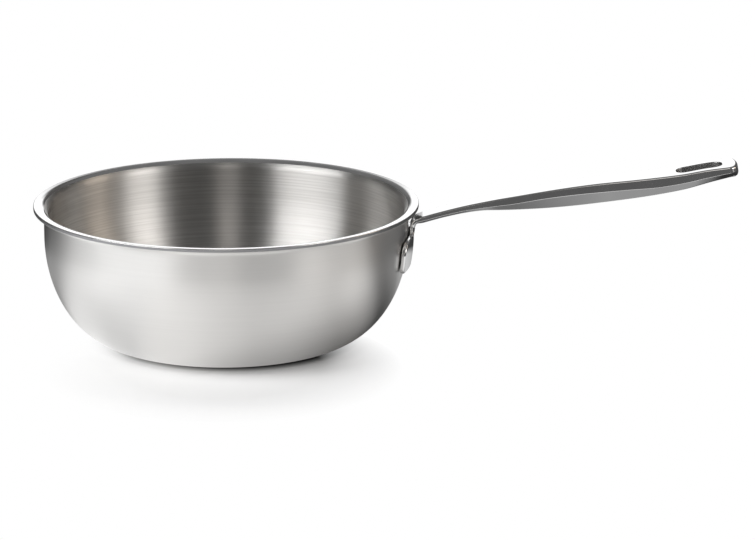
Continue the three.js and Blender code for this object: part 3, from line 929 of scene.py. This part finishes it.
def make_world():
    """White background, dimmer as a light, with darker parts of the room in reflections."""
    world = bpy.data.worlds.new("studio")
    bpy.context.scene.world = world
    world.use_nodes = True
    nodes = Nodes(world.node_tree)
    place = nodes.add("ShaderNodeTexCoord").outputs["Generated"]
    split = nodes.add("ShaderNodeSeparateXYZ", Vector=place).outputs
    low = nodes.spread(split["Z"], 1, 0, *ROOM_LOW)
    room = mixed(nodes, low, compass_ramp(nodes, split, ROOM_LEVELS), grey(LOW_LEVEL))
    high = nodes.spread(split["Z"], 0, 1, *ROOM_TOP)
    room = mixed(nodes, high, room, grey(CEILING_LEVEL))
    sideways = nodes.math("ABSOLUTE", split["X"])
    behind = nodes.math(
        "MULTIPLY", nodes.spread(sideways, 1, 0, *BACKDROP_SIDE),
        nodes.spread(split["Z"], 1, 0, *BACKDROP_TOP),
    )
    behind = nodes.math("MULTIPLY", behind, nodes.math("GREATER_THAN", split["Y"], 0))
    studio = mixed(nodes, behind, room, grey(BACKDROP_LEVEL))
    path = nodes.add("ShaderNodeLightPath").outputs
    seen = mixed(nodes, path["Is Glossy Ray"], grey(1), studio)
    dim = nodes.spread(seen_directly(nodes), WORLD_LIGHT, 1)
    background = nodes.add("ShaderNodeBackground", Strength=dim)
    nodes.set(background.inputs["Color"], seen)
    nodes.add("ShaderNodeOutputWorld", Surface=background.outputs[0])


def distance_from(nodes, place, centre):
    measure = nodes.add("ShaderNodeVectorMath", {"operation": "DISTANCE"})
    nodes.set(measure.inputs[0], place)
    nodes.set(measure.inputs[1], centre)
    return measure.outputs["Value"]


def make_floor():
    """Pale floor that keeps the shadow near the pan and turns into the white background
    further out. Its colour darkens towards the base as a painted contact shadow, and a ring of
    painted light round that is added where it is seen. What it lacks to white shows only where
    it is seen, and the metal sees its own level of it by direction."""
    material, nodes = new_finish("floor_white")
    place = nodes.add("ShaderNodeTexCoord").outputs["Object"]
    split = nodes.add("ShaderNodeSeparateXYZ", Vector=place).outputs
    path = nodes.add("ShaderNodeLightPath").outputs
    # Painted light: a glowing ring round the base, added for camera rays only
    distance = distance_from(nodes, place, PAINTED_FLOOR_LIGHT_CENTRE)
    start, full, fall, end = PAINTED_FLOOR_LIGHT_RING
    ring = nodes.math(
        "MULTIPLY", nodes.spread(distance, 0, 1, start, full), nodes.spread(distance, 1, 0, fall, end),
    )
    level = nodes.math("MULTIPLY", nodes.math("MULTIPLY", path["Is Camera Ray"], PAINTED_FLOOR_LIGHT), ring)
    lift = nodes.add("ShaderNodeEmission", Strength=level)
    # Painted contact shadow: the paper's colour darkens towards the base
    distance = distance_from(nodes, place, PAINTED_CONTACT_SHADOW_CENTRE)
    tone = nodes.spread(distance, FLOOR_COLOUR * PAINTED_CONTACT_SHADOW_LEVEL, FLOOR_COLOUR, *PAINTED_CONTACT_SHADOW_RING)
    paper = nodes.add("ShaderNodeBsdfDiffuse", Color=tone)
    near = nodes.add("ShaderNodeAddShader")
    nodes.set(near.inputs[0], paper.outputs[0])
    nodes.set(near.inputs[1], lift.outputs[0])
    white = nodes.add("ShaderNodeEmission", Strength=seen_directly(nodes))
    stretch = nodes.add("ShaderNodeVectorMath", {"operation": "MULTIPLY"})
    nodes.set(stretch.inputs[0], place)
    nodes.set(stretch.inputs[1], SHADE_STRETCH)
    away = distance_from(nodes, stretch.outputs["Vector"], SHADE_CENTRE)
    seen = blended(nodes, nodes.spread(away, 0, 1, *FLOOR_FADE), near, white)
    strength = 1
    for centre, inner, outer, share_inside, share_outside in FLOOR_SHADES:
        away = distance_from(nodes, place, centre)
        share = nodes.spread(away, share_inside, share_outside, inner, outer)
        strength = nodes.math("MULTIPLY", strength, share)
    mirrored = nodes.add(
        "ShaderNodeEmission", Color=compass_ramp(nodes, split, FLOOR_LEVELS), Strength=strength,
    )
    surface = blended(nodes, path["Is Glossy Ray"], seen, mirrored)
    nodes.add("ShaderNodeOutputMaterial", Surface=surface.outputs[0])
    corners = np.array([(-1, -1, 0), (1, -1, 0), (1, 1, 0), (-1, 1, 0)]) * FLOOR_REACH
    floor = mesh_object("floor", corners, [[0, 1, 2, 3]], [material])


def make_lamps():
    """Soft boxes as square area lamps, each aimed at the pan."""
    for name, place, size, power, colour in SOFT_BOXES:
        data = bpy.data.lights.new(name, "AREA")
        data.shape = "SQUARE"
        data.size = size
        data.energy = power
        data.color = colour
        lamp = bpy.data.objects.new(name, data)
        lamp.location = place
        aim = Vector(LAMP_TARGET) - lamp.location
        lamp.rotation_euler = aim.to_track_quat("-Z", "Y").to_euler()
        lamp.visible_glossy = False
        bpy.context.scene.collection.objects.link(lamp)


def make_pan():
    satin = brushed_steel(
        "satin_outside", SATIN_DARK, SATIN_LIGHT, roughness=0.36, streaks=0.01,
        depth=SATIN_GRAIN, anisotropy=0.8,
    )
    inside_finish = brushed_steel(
        "brushed_inside", INSIDE_DARK, INSIDE_LIGHT, roughness=0.4, streaks=0.03,
        depth=INSIDE_GRAIN, anisotropy=1,
    )
    polish = polished_steel(
        "polished_lip", POLISH_DARK, POLISH_LIGHT, roughness=0.09, wave=LIP_WAVE, climb=LIP_CLIMB,
    )
    mirror = polished_steel(
        "polished_handle", POLISH_DARK, POLISH_LIGHT, roughness=0.07, wave=HANDLE_WAVE,
    )
    core_metal_and_shade = raw_metal("cut_aluminium_painted_shade", CORE_SHADE_DARK, CORE_SHADE_LIGHT, roughness=0.4, depth=CORE_GRAIN)
    slot_metal_and_shade = raw_metal("slot_wall_painted_shade", SLOT_SHADE_DARK, SLOT_SHADE_LIGHT, roughness=0.4, depth=SLOT_GRAIN)
    weld_metal = raw_metal("weld_bead", WELD_DARK, WELD_LIGHT, roughness=0.45, depth=WELD_GRAIN)

    outside, inside = layer_profile(0, OUTER_PLY, LIP_EDGE_ROUNDING, 0)
    outer = turned_piece("bowl_outside", outside, inside, [satin, polish], LIP_START)
    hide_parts("outer_ply")
    outside, inside = layer_profile(CORE_DEPTH, CORE_PLY, 0, 0)
    core = turned_piece("bowl_core", outside, inside, [core_metal_and_shade], LIP_START)
    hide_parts("core_ply")
    outside, inside = layer_profile(INNER_DEPTH, INNER_PLY, 0, LIP_EDGE_ROUNDING)
    inner = turned_piece("bowl_inside", outside, inside, [inside_finish, polish], LIP_START)
    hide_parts("inner_ply")
    handle = make_handle([mirror, slot_metal_and_shade])
    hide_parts("handle")
    for piece in (outer, core, inner, handle):
        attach(piece, "root")
    for node_name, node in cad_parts.items():
        if node_name.startswith("foot_weld"):
            for material_slot in node.material_slots:
                material_slot.material = weld_metal


make_camera()
make_world()
make_floor()
make_lamps()
make_pan()

bpy.context.scene.view_settings.view_transform = "Standard"
